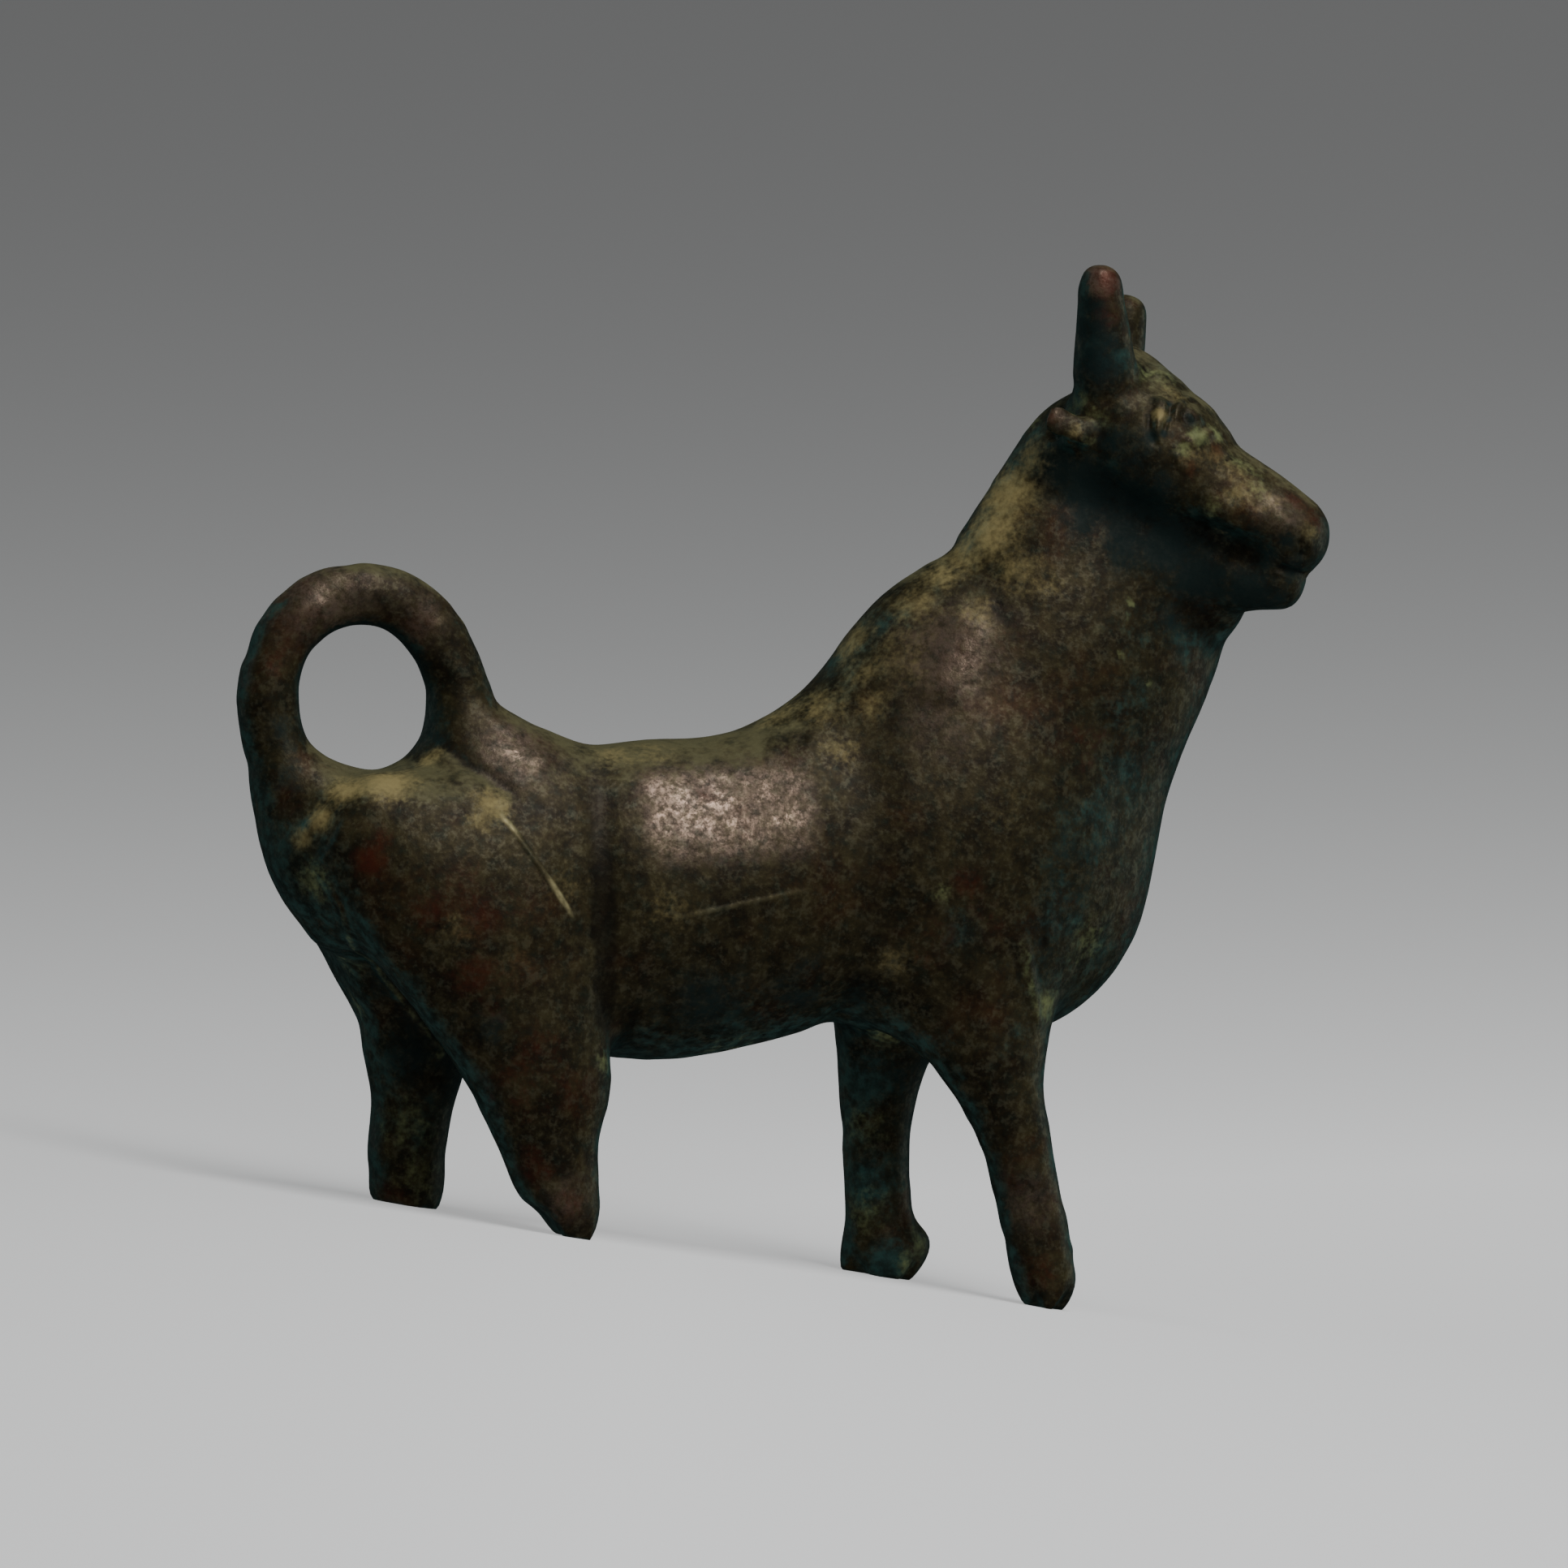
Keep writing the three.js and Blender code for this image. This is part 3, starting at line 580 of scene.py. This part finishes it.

# %% [markdown]
# The stains follow the photograph on the side that it shows, and so do the dabs of painted shade and light. Each dab
# is a pixel, a radius in millimetres and a strength. The crust dabs under the head, on the chest and under the belly
# are painted shade, and the pale green and teal dabs on the far legs paint a lighter tone where they stand in shade.
# The hidden side gets the same dabs, mirrored and fainter.

# %% Dabs of ochre, copper red and green, and of painted shade and light
DABS = {
    "ochre": (
        ((478, 962), 1.6, 0.9), ((430, 972), 1.2, 0.85), ((530, 935), 0.8, 0.6), ((395, 1008), 0.8, 0.7),
        ((372, 1032), 0.7, 0.5), ((606, 992), 1.1, 0.7), ((590, 1010), 0.8, 0.5), ((800, 925), 1.6, 0.35),
        ((760, 925), 1.4, 0.45), ((960, 880), 1.6, 0.4), ((1010, 870), 1.6, 0.5), ((1050, 790), 1.6, 0.5),
        ((1072, 870), 1.3, 0.4), ((1130, 745), 1.6, 0.5), ((1190, 680), 1.7, 0.6), ((1240, 610), 1.8, 0.75),
        ((1200, 752), 1.3, 0.4), ((1110, 805), 2.4, 0.35), ((1036, 920), 1.5, 0.35), ((1220, 655), 1.8, 0.75), ((1160, 710), 1.5, 0.5), ((820, 1125), 1.6, 0.3),
        ((1100, 1180), 1.4, 0.3), ((1240, 1000), 2.0, 0.2), ((1250, 700), 1.8, 0.4), ((1060, 830), 1.6, 0.35),
        ((1428, 512), 0.42, 0.9), ((1495, 562), 1.1, 0.35), ((1530, 605), 1.3, 0.4), ((1520, 580), 1.1, 0.35),
        ((1445, 485), 0.8, 0.45), ((1570, 622), 1.0, 0.35), ((1290, 720), 1.2, 0.35), ((1326, 531), 0.5, 0.5),
        ((1470, 560), 0.9, 0.4), ((1615, 655), 0.7, 0.4), ((1270, 565), 1.5, 0.45),
        ((700, 1090), 1.6, 0.25), ((560, 1150), 1.6, 0.25), ((640, 1180), 1.6, 0.2), ((1505, 665), 0.9, 0.25),
    ),
    "copper": (
        ((455, 1060), 1.0, 0.7), ((470, 1035), 0.7, 0.5), ((530, 1125), 1.2, 0.55), ((590, 1200), 1.4, 0.6),
        ((600, 1150), 4.0, 0.3), ((655, 1330), 3.4, 0.35), ((330, 820), 2.0, 0.25), ((1215, 1130), 3.0, 0.2),
        ((608, 1238), 1.0, 0.5), ((655, 1290), 1.6, 0.45), ((870, 978), 0.5, 0.6), ((1345, 928), 1.6, 0.4),
        ((1150, 1170), 1.8, 0.35), ((1190, 1090), 1.2, 0.3), ((1362, 345), 0.9, 0.9), ((1368, 385), 0.8, 0.4),
        ((700, 1490), 1.1, 0.55), ((655, 1440), 1.4, 0.4), ((480, 1470), 1.2, 0.35), ((1275, 1560), 1.4, 0.4),
        ((1618, 640), 0.9, 0.6), ((1600, 620), 0.8, 0.5), ((1466, 577), 0.6, 0.6), ((360, 985), 1.0, 0.3),
        ((1250, 1450), 1.2, 0.3), ((1296, 512), 0.6, 0.5), ((740, 1120), 1.8, 0.2), ((400, 760), 1.4, 0.3),
        ((1500, 555), 1.1, 0.4), ((310, 840), 1.0, 0.3), ((1395, 480), 0.6, 0.35), ((1240, 780), 1.4, 0.25),
    ),
    # Pale green dabs: patina on the head, a painted highlight at the front of the thigh, and a painted lighter tone on
    # the far legs, which stand in shade.
    "pale_green_and_painted_light": (
        ((1476, 539), 0.6, 0.75), ((1460, 553), 0.5, 0.6), ((1412, 462), 0.9, 0.45), ((1436, 470), 0.8, 0.4),
        ((1498, 535), 0.6, 0.6), ((1520, 568), 0.8, 0.35), ((1550, 600), 0.8, 0.35), ((1275, 520), 0.9, 0.35),
        ((1340, 545), 0.6, 0.35), ((1330, 503), 0.9, 0.4), ((1352, 512), 0.8, 0.35), ((500, 1390), 1.8, 0.35),
        ((515, 1450), 1.4, 0.35), ((1062, 1390), 1.6, 0.3), ((1064, 1490), 1.6, 0.3), ((1118, 1558), 1.0, 0.35), ((745, 1312), 0.8, 0.5), ((1160, 1105), 0.8, 0.35),
        ((1393, 742), 0.22, 0.9), ((1391, 760), 0.16, 0.8), ((1381, 808), 0.24, 0.7), ((1416, 842), 0.22, 0.6),
        ((1135, 1530), 0.9, 0.4), ((385, 1085), 1.2, 0.5), ((1090, 1275), 1.2, 0.45), ((1495, 625), 0.7, 0.4),
        ((1340, 1160), 1.8, 0.3), ((1545, 580), 0.8, 0.35), ((560, 1130), 0.3, 0.3), ((1290, 1240), 1.0, 0.5),
        ((900, 1290), 2.0, 0.25), ((440, 1240), 1.2, 0.35), ((430, 1190), 1.0, 0.35), ((1460, 667), 0.2, 0.7),
    ),
    "worn": (
        ((1170, 805), 2.2, 1.0), ((1160, 880), 2.4, 0.35), ((893, 988), 2.2, 0.8),
        ((640, 925), 1.9, 0.8), ((1580, 630), 1.0, 0.7), ((1350, 343), 1.0, 0.9), ((400, 730), 2.4, 0.7),
        ((1303, 513), 0.4, 0.8), ((1265, 1480), 1.5, 0.4), ((520, 760), 1.5, 0.4), ((700, 1480), 1.2, 0.4),
    ),
    # Crust dabs: green crust on the horn and around the eye, and painted shade under the head, on the chest and under
    # the belly.
    "crust_and_painted_shade": (
        ((1345, 400), 1.4, 0.95), ((1350, 450), 1.5, 0.95), ((1300, 575), 1.8, 0.9), ((1345, 600), 2.2, 0.95),
        ((1348, 378), 0.9, 0.75), ((1350, 526), 0.6, 0.6), ((1368, 420), 1.0, 0.8), ((1372, 455), 1.0, 0.7), ((1419, 538), 0.4, 0.9), ((1510, 560), 0.4, 0.6),
        ((1440, 498), 0.2, 0.9), ((1439, 516), 0.22, 0.9), ((1433, 534), 0.22, 0.8), ((1457, 497), 0.2, 0.7),

        ((1330, 1060), 3.4, 0.35), ((1290, 1170), 3.0, 0.35), ((1380, 930), 2.6, 0.3), ((1575, 735), 1.0, 0.7),
        ((1370, 545), 1.2, 0.7), ((1548, 652), 0.6, 0.5), ((1585, 668), 0.8, 0.7), ((1500, 640), 0.8, 0.5),
        ((1400, 620), 2.3, 0.95), ((1385, 660), 2.0, 0.9), ((1440, 670), 2.1, 0.95), ((1335, 640), 1.5, 0.8),
        ((1480, 715), 2.0, 0.95), ((1540, 730), 1.7, 0.95), ((1596, 700), 1.0, 0.8), ((1560, 690), 1.2, 0.7),
        ((1395, 560), 1.5, 0.7), ((1430, 600), 1.2, 0.7), ((1467, 515), 0.42, 1.0), ((1440, 760), 1.6, 0.6),
        ((510, 1300), 1.6, 0.8), ((470, 1210), 1.4, 0.6), ((600, 1270), 1.2, 0.5), ((870, 1240), 2.6, 0.7),
        ((980, 1225), 2.2, 0.6), ((350, 900), 1.2, 0.5), ((350, 960), 1.0, 0.5), ((1060, 1225), 1.6, 0.5),
    ),
    # Teal dabs: patina, with painted shade on the chest and under the jaw and a painted cooler, lighter tone on the
    # far fore leg.
    "teal_and_painted_rim": (
        ((1335, 430), 1.2, 0.7), ((1385, 440), 0.9, 0.7), ((1310, 1120), 2.8, 0.45), ((1350, 1020), 3.0, 0.45),
        ((1395, 880), 2.2, 0.4), ((1350, 1180), 2.4, 0.5), ((900, 1270), 2.4, 0.6), ((430, 1180), 1.6, 0.6),
        ((1265, 560), 1.2, 0.6), ((1280, 510), 0.9, 0.6), ((1500, 790), 1.6, 0.7), ((1570, 750), 1.2, 0.7),
        ((480, 1300), 1.6, 0.5), ((1060, 1400), 1.4, 0.4), ((1150, 1290), 1.4, 0.5), ((1180, 1150), 1.4, 0.4),
        ((1060, 1330), 2.0, 0.9), ((1062, 1460), 2.0, 0.9), ((1095, 1560), 1.6, 0.9), ((505, 1380), 1.8, 0.45),
        ((1395, 960), 3.0, 0.5), ((1290, 1200), 2.0, 0.35), ((1395, 780), 1.8, 0.3), ((1250, 1280), 1.4, 0.3),
        ((1130, 1530), 1.0, 0.5), ((400, 1060), 1.2, 0.5), ((1460, 800), 1.6, 0.5), ((1440, 460), 1.0, 0.5),
    ),
}
FAR_SIDE_SHARE = 0.7
BARREL_BAND = ((784, 1000), (892, 995), (1012, 984))
BARREL_BAND_WIDTH = 3.3 * MM
BAND_END = 0.12
HEAD_FROM_X = 11.5 * MM
HEAD_FROM_Z = 38 * MM


def dabbed(dabs):
    cover = np.zeros(len(points))
    for pixel, radius, strength in dabs:
        place = on_skin(pixel)[0]
        on_head = place.x > HEAD_FROM_X and place.z > HEAD_FROM_Z
        for centre, share in ((place, 1), (mirrored(place, on_head), FAR_SIDE_SHARE)):
            gap = np.linalg.norm(points - np.array(centre), axis=1)
            cover = np.maximum(cover, strength * share * np.exp(-((gap / (radius * MM)) ** 2)))
    return cover


stains_and_painted_light = {name: dabbed(dabs) for name, dabs in DABS.items()}


def rubbed_band(pixels, half_width):
    """A band that is worn to bare metal, with soft long sides and crisp ends."""
    gap, share = beside(marked(pixels)[0], points, half_width)
    across = np.clip(1 - (gap / half_width) ** 2, 0, 1)
    return across * np.clip(np.minimum(share, 1 - share) / BAND_END, 0, 1)


def store(mesh, name, values):
    attribute = mesh.attributes.get(name) or mesh.attributes.new(name, "FLOAT", "POINT")
    attribute.data.foreach_set("value", np.ascontiguousarray(values, np.float32))


def near_strokes(names):
    cover = np.zeros(len(points))
    for name, line, _, half_width, _ in stroke_lines:
        if name in names:
            cover = np.maximum(cover, stroke_mask(line, points, half_width))
    return cover


stains_and_painted_light["worn"] = np.maximum(stains_and_painted_light["worn"], rubbed_band(BARREL_BAND, BARREL_BAND_WIDTH))
# The crust mask: green crust where the skin is sheltered, hollow or turned away, with the crust dabs, which also paint
# shade under the head, on the chest and under the belly.
deep = np.clip(0.2 * turned_away + 1.6 * (shelter_and_shade - 0.1) + 0.25 * np.clip(hollow, 0, 1), 0, 1)
# Painted shade along the creases in front of the thigh, at the loin and behind the shoulder.
crease_shade = np.maximum(near_strokes(("thigh front",)), 0.75 * near_strokes(("loin hollow", "shoulder back")))
store(bull.data, "shelter_and_shade", np.maximum(deep, stains_and_painted_light["crust_and_painted_shade"]))
# Teal: patina, and a painted rim reflection on the faces that point forward or back.
store(bull.data, "teal_and_painted_rim", np.maximum(0.68 * turned_away * (1 - 0.4 * shelter_and_shade), stains_and_painted_light["teal_and_painted_rim"]))
# The hollow mask: dirt in hollows, and the painted shade along the creases.
store(bull.data, "hollow", np.maximum(np.clip(0.5 + 0.5 * hollow, 0, 1), crease_shade))
on_head = (points[:, 0] > HEAD_FROM_X) & (points[:, 2] > HEAD_FROM_Z)
dust_share = np.clip((normals[:, 2] - 0.5) / 0.35, 0, 1) * np.where(on_head, 0.55, 0.78)
store(bull.data, "dusty", dust_share * (1 - stains_and_painted_light["crust_and_painted_shade"]) * (1 - 0.9 * stains_and_painted_light["worn"]))
store(bull.data, "ochre", stains_and_painted_light["ochre"])
store(bull.data, "copper", stains_and_painted_light["copper"])
store(bull.data, "worn", stains_and_painted_light["worn"])
# Pale green patina, with painted highlights along the rear ridge and the leg's front ridge.
store(bull.data, "pale_green_and_painted_light", np.maximum(stains_and_painted_light["pale_green_and_painted_light"], 0.35 * near_strokes(("rear ridge", "leg front ridge"))))
scraped = np.minimum(np.maximum(2 * near_strokes(("raised scratch",)), 0.15 * near_strokes(("flank scratch",))), 1)
store(bull.data, "scraped", scraped)
print("attributes", [a.name for a in bull.data.attributes if not a.is_internal])

# %% [markdown]
# ## The bronze and its patina
#
# Old bronze is brown metal under thin mineral films. A node group lays each film: it breaks the edge of a mask with
# noise, so that a stain ends in flecks and not in a soft airbrush, and mixes the film's colour over what is below.
# The same group serves the green crust, which is also painted shade, the teal, which is partly a painted rim
# reflection, the ochre earth, the copper red and the pale green, which also paints highlights.

# %% Film group
def srgb(code):
    """A linear colour from a web colour code."""
    parts = [int(code[n : n + 2], 16) / 255 for n in (1, 3, 5)]
    return (*[p / 12.92 if p <= 0.04045 else ((p + 0.055) / 1.055) ** 2.4 for p in parts], 1.0)


def mixed(tree, share, under, over, mode="MIX"):
    node = add_node(tree, "ShaderNodeMix", {0: share, 6: under, 7: over}, data_type="RGBA", blend_type=mode)
    return node.outputs[2]


def noise_at(tree, place, size, detail=2.0, roughness=0.5):
    inputs = {"Vector": place, "Scale": size, "Detail": detail, "Roughness": roughness}
    return add_node(tree, "ShaderNodeTexNoise", inputs).outputs[0]


film, given, result = new_group(
    "patina_film",
    "ShaderNodeTree",
    [
        ("Under", "Color", (0.05, 0.04, 0.03, 1)),
        ("Film", "Color", (0.1, 0.2, 0.15, 1)),
        ("Cover", "Float", 0.0),
        ("Place", "Vector", None),
        ("Patch scale", "Float", 700.0),
        ("Fleck scale", "Float", 3200.0),
        ("Brokenness", "Float", 1.0),
        ("Thickness", "Float", 0.8),
    ],
    [("Color", "Color"), ("Cover", "Float")],
)


def swing(tree, noise, size):
    """Noise moved to lie round zero."""
    return calculate(tree, "MULTIPLY", calculate(tree, "SUBTRACT", noise, 0.5), size)


patches = swing(film, noise_at(film, given["Place"], given["Patch scale"], 3.0, 0.6), given["Brokenness"])
flecks = swing(film, noise_at(film, given["Place"], given["Fleck scale"], 2.0, 0.6), 0.7)
uneven = calculate(film, "ADD", given["Cover"], calculate(film, "ADD", patches, flecks))
spread = calculate(film, "MULTIPLY", ramp(film, uneven, 0.1, 0.9), ramp(film, given["Cover"], 0.0, 0.25))
spread = calculate(film, "MULTIPLY", spread, given["Thickness"], clamped=True)
film.links.new(mixed(film, spread, given["Under"], given["Film"]), result.inputs["Color"])
film.links.new(spread, result.inputs["Cover"])

# %% [markdown]
# A second group makes the fine grain that shows all over, as flecks of light and dark metal and as a height for the
# bump, so that a reflection breaks up into sparks as it does on the barrel.

# %% Grain group
grain_group, given, result = new_group(
    "metal_grain",
    "ShaderNodeTree",
    [("Place", "Vector", None), ("Fine scale", "Float", 4600.0), ("Coarse scale", "Float", 1700.0)],
    [("Fleck", "Float"), ("Height", "Float")],
)
fine = noise_at(grain_group, given["Place"], given["Fine scale"], 2.0, 0.6)
coarse = noise_at(grain_group, given["Place"], given["Coarse scale"], 2.0, 0.55)
fleck = calculate(grain_group, "ADD", calculate(grain_group, "MULTIPLY", fine, 0.5), calculate(grain_group, "MULTIPLY", coarse, 0.5))
grain_group.links.new(ramp(grain_group, fleck, 0.3, 0.7), result.inputs["Fleck"])
grain_group.links.new(fleck, result.inputs["Height"])

# %% The bronze material
DARK_BROWN = srgb("#19130a")
OLIVE_BROWN = srgb("#2b2515")
RED_BROWN = srgb("#321b0c")
LIGHT_FLECK = srgb("#5f5c48")
# Dark green crust, also laid as painted shade under the head, on the chest and under the belly.
GREEN_CRUST_AND_SHADE = srgb("#091b1b")
# Teal of the patina and of a painted rim reflection.
TEAL_PATINA_AND_RIM = srgb("#1b3a37")
TEAL_SHADE = srgb("#10211f")
MOTTLE_OLIVE = srgb("#3d3924")
MOTTLE_GREEN = srgb("#15211a")
RUBBED_METAL = srgb("#776458")
DUSTY_OLIVE = srgb("#5a573d")
OCHRE_EARTH = srgb("#887a50")
COPPER_RED = srgb("#40170c")
# Pale green, also the painted highlights on the ridges and the lighter tone on the far legs.
PALE_GREEN_AND_PAINTED_LIGHT = srgb("#6a7049")
SCRAPED_METAL = srgb("#8d8460")
# Dark dirt, also used as painted shade in the creases.
DIRT_AND_CREASE_SHADE = srgb("#0b0907")

bronze.use_nodes = True
tree = bronze.node_tree
principled = tree.nodes["Principled BSDF"]
place = add_node(tree, "ShaderNodeTexCoord").outputs["Object"]


def attribute(name):
    return add_node(tree, "ShaderNodeAttribute", attribute_name=name).outputs["Fac"]


def placed(group, inputs):
    return add_node(tree, "ShaderNodeGroup", inputs, node_tree=group)


def laid(under, colour, cover, patch_scale, brokenness, thickness):
    inputs = {"Under": under, "Film": colour, "Cover": cover, "Place": place, "Patch scale": patch_scale}
    return placed(film, {**inputs, "Brokenness": brokenness, "Thickness": thickness})


grain_node = placed(grain_group, {"Place": place})
fleck = grain_node.outputs["Fleck"]
colour = mixed(tree, ramp(tree, noise_at(tree, place, 600.0, 4.0, 0.65), 0.36, 0.64), DARK_BROWN, OLIVE_BROWN)
colour = mixed(tree, ramp(tree, noise_at(tree, place, 260.0, 3.0, 0.6), 0.5, 0.75, 0.0, 0.7), colour, RED_BROWN)
mottle = noise_at(tree, place, 1400.0, 4.0, 0.65)
colour = mixed(tree, ramp(tree, mottle, 0.45, 0.75, 0.0, 0.5), colour, MOTTLE_OLIVE)
colour = mixed(tree, ramp(tree, mottle, 0.25, 0.55, 0.6, 0.0), colour, MOTTLE_GREEN)
colour = mixed(tree, ramp(tree, fleck, 0.45, 1.0, 0.0, 0.2), colour, LIGHT_FLECK)
colour = mixed(tree, ramp(tree, fleck, 0.0, 0.5, 0.3, 0.0), colour, DIRT_AND_CREASE_SHADE)
# Dirt in hollows, and painted shade along the creases.
colour = mixed(tree, ramp(tree, attribute("hollow"), 0.55, 0.95, 0.0, 0.6), colour, DIRT_AND_CREASE_SHADE)
colour = mixed(tree, calculate(tree, "MULTIPLY", attribute("pits"), 0.6), colour, DIRT_AND_CREASE_SHADE)
teal_tone = mixed(tree, ramp(tree, mottle, 0.35, 0.65), TEAL_SHADE, TEAL_PATINA_AND_RIM)
# Teal patina, and a painted rim reflection on the faces that point forward or back.
teal_and_painted_rim = laid(colour, teal_tone, attribute("teal_and_painted_rim"), 700.0, 1.2, 0.9)
# Green crust, and painted shade under the head, on the chest and under the belly.
crust_and_painted_shade = laid(teal_and_painted_rim.outputs["Color"], GREEN_CRUST_AND_SHADE, attribute("shelter_and_shade"), 600.0, 1.1, 0.9)
dust = laid(crust_and_painted_shade.outputs["Color"], DUSTY_OLIVE, attribute("dusty"), 700.0, 1.6, 0.62)
ochre = laid(dust.outputs["Color"], OCHRE_EARTH, attribute("ochre"), 900.0, 0.55, 0.7)
copper = laid(ochre.outputs["Color"], COPPER_RED, attribute("copper"), 500.0, 1.3, 0.7)
# Pale green, and painted highlights on the ridges.
pale = laid(copper.outputs["Color"], PALE_GREEN_AND_PAINTED_LIGHT, attribute("pale_green_and_painted_light"), 1500.0, 1.0, 0.75)
scratch = calculate(tree, "MULTIPLY", attribute("scraped"), ramp(tree, noise_at(tree, place, 1800.0), 0.3, 0.6, 0.3, 0.8))
scraped = mixed(tree, scratch, pale.outputs["Color"], SCRAPED_METAL)

dull = crust_and_painted_shade.outputs[1]
for laid_over in (teal_and_painted_rim, dust, ochre, pale):
    dull = calculate(tree, "MAXIMUM", dull, laid_over.outputs[1])
rubbed_spots = ramp(tree, noise_at(tree, place, 2500.0, 4.0, 0.8), 0.34, 0.66, 0.2, 1.0)
rubbed_areas = ramp(tree, noise_at(tree, place, 900.0, 3.0, 0.6), 0.34, 0.6, 0.45, 1.0)
rubbed = calculate(tree, "MULTIPLY", attribute("worn"), calculate(tree, "MULTIPLY", rubbed_spots, rubbed_areas))
rubbed = calculate(tree, "MULTIPLY", rubbed, ramp(tree, dull, 0.2, 0.7, 1.0, 0.0))
finish = mixed(tree, calculate(tree, "MULTIPLY", rubbed, 0.7), scraped, RUBBED_METAL)
tree.links.new(finish, principled.inputs["Base Color"])
roughness = ramp(tree, dull, 0.0, 1.0, 0.5, 0.7)
roughness = calculate(tree, "SUBTRACT", roughness, calculate(tree, "MULTIPLY", rubbed, 0.28))
roughness = calculate(tree, "ADD", roughness, ramp(tree, fleck, 0.0, 1.0, 0.05, -0.05))
tree.links.new(roughness, principled.inputs["Roughness"])
metallic = calculate(tree, "MAXIMUM", ramp(tree, dull, 0.0, 1.0, 0.3, 0.05), calculate(tree, "MULTIPLY", rubbed, 0.8))
tree.links.new(metallic, principled.inputs["Metallic"])
principled.inputs["Specular IOR Level"].default_value = 0.13
principled.inputs["Specular Tint"].default_value = (1.0, 0.87, 0.78, 1)
bump = add_node(tree, "ShaderNodeBump", {"Strength": 0.7, "Distance": 0.05 * MM, "Height": grain_node.outputs["Height"]})
tree.links.new(bump.outputs[0], principled.inputs["Normal"])
print("bronze material with", len(tree.nodes), "nodes")

# %% Place the bull in the frame
bull.data.polygons.foreach_set("use_smooth", [True] * len(bull.data.polygons))
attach(bull, "root")
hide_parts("bull")

# %% [markdown]
# ## Studio
#
# The figure stands on pale paper that curves up behind it, so the floor has no far edge. The paper's grey is darker
# towards the top of the frame, and the paper glows a little by itself, a painted light that lifts the shadows on it.
# One wide soft light hangs over it, on the camera's side, and two cool lights at the sides reach only the figure.

# %% Backdrop and light
PAPER_HALF_WIDTH = 0.9
PAPER_FRONT = -0.9
CURVE_START = 0.04
CURVE_RADIUS = 0.35
PAPER_TOP = 1.1
CURVE_PARTS = 40
PAPER_FADE = 0.021

profile = [(PAPER_FRONT, 0.0), (CURVE_START, 0.0)]
profile += [
    (CURVE_START + CURVE_RADIUS * math.sin(a), CURVE_RADIUS * (1 - math.cos(a)))
    for a in (math.pi / 2 * n / CURVE_PARTS for n in range(1, CURVE_PARTS + 1))
]
profile.append((CURVE_START + CURVE_RADIUS, PAPER_TOP))
paper_points = [
    tuple(level_right * side * PAPER_HALF_WIDTH + forward * depth + Vector((0, 0, height)))
    for depth, height in profile
    for side in (-1, 1)
]
paper_faces = [(2 * n, 2 * n + 1, 2 * n + 3, 2 * n + 2) for n in range(len(profile) - 1)]
paper_mesh = bpy.data.meshes.new("paper")
paper_mesh.from_pydata(paper_points, [], paper_faces)
paper_mesh.polygons.foreach_set("use_smooth", [True] * len(paper_faces))
paper = bpy.data.objects.new("paper", paper_mesh)
bpy.context.scene.collection.objects.link(paper)
paper_material = bpy.data.materials.new("pale_paper")
paper_material.use_nodes = True
paper_tree = paper_material.node_tree
paper_shader = paper_tree.nodes["Principled BSDF"]
seen_from_behind = add_node(paper_tree, "ShaderNodeNewGeometry").outputs["Backfacing"]
paper_tree.links.new(calculate(paper_tree, "SUBTRACT", 1.0, seen_from_behind), paper_shader.inputs["Alpha"])
paper_shader.inputs["Roughness"].default_value = 0.9
paper_place = add_node(paper_tree, "ShaderNodeTexCoord").outputs["Object"]
towards_top = tuple(image_up)
climb = add_node(paper_tree, "ShaderNodeVectorMath", {0: paper_place, 1: towards_top}, operation="DOT_PRODUCT").outputs["Value"]
shade = calculate(paper_tree, "EXPONENT", calculate(paper_tree, "DIVIDE", climb, -PAPER_FADE))
grey = mixed(paper_tree, shade, srgb("#414141"), srgb("#a6a6a6"))
paper_tree.links.new(grey, paper_shader.inputs["Base Color"])
# The paper glows with its own grey: a painted light that lifts the shadows on it.
paper_tree.links.new(grey, paper_shader.inputs["Emission Color"])
paper_shader.inputs["Emission Strength"].default_value = 1.2
paper_mesh.materials.append(paper_material)
paper.visible_glossy = False


COOL_WHITE = (0.78, 1.0, 0.97)


def soft_light(name, from_figure, distance, width, depth, power, colour=(1, 1, 1)):
    light = bpy.data.objects.new(name, bpy.data.lights.new(name, "AREA"))
    light.data.shape = "RECTANGLE"
    light.data.size, light.data.size_y = width, depth
    light.data.energy = power
    light.data.color = colour
    light.location = AIM + Vector(from_figure).normalized() * distance
    light.rotation_euler = (AIM - light.location).to_track_quat("-Z", "Y").to_euler()
    bpy.context.scene.collection.objects.link(light)
    return light


lit_from_the_sides = bpy.data.collections.new("lit from the sides")
lit_from_the_sides.objects.link(bull)
soft_light("key", (0.093, -0.537, 0.839), 0.6, 0.24, 0.7, 5.2)
for name, side in (("left rim", -1), ("right rim", 1)):
    from_side = level_right * 0.94 * side + forward * 0.34 + Vector((0, 0, 0.1))
    rim = soft_light(name, from_side, 0.7, 0.5, 0.5, 1.3, COOL_WHITE)
    rim.light_linking.receiver_collection = lit_from_the_sides
world = bpy.data.worlds.new("studio")
bpy.context.scene.world = world
world.use_nodes = True
world.node_tree.nodes["Background"].inputs["Color"].default_value = (0.04, 0.066, 0.07, 1)
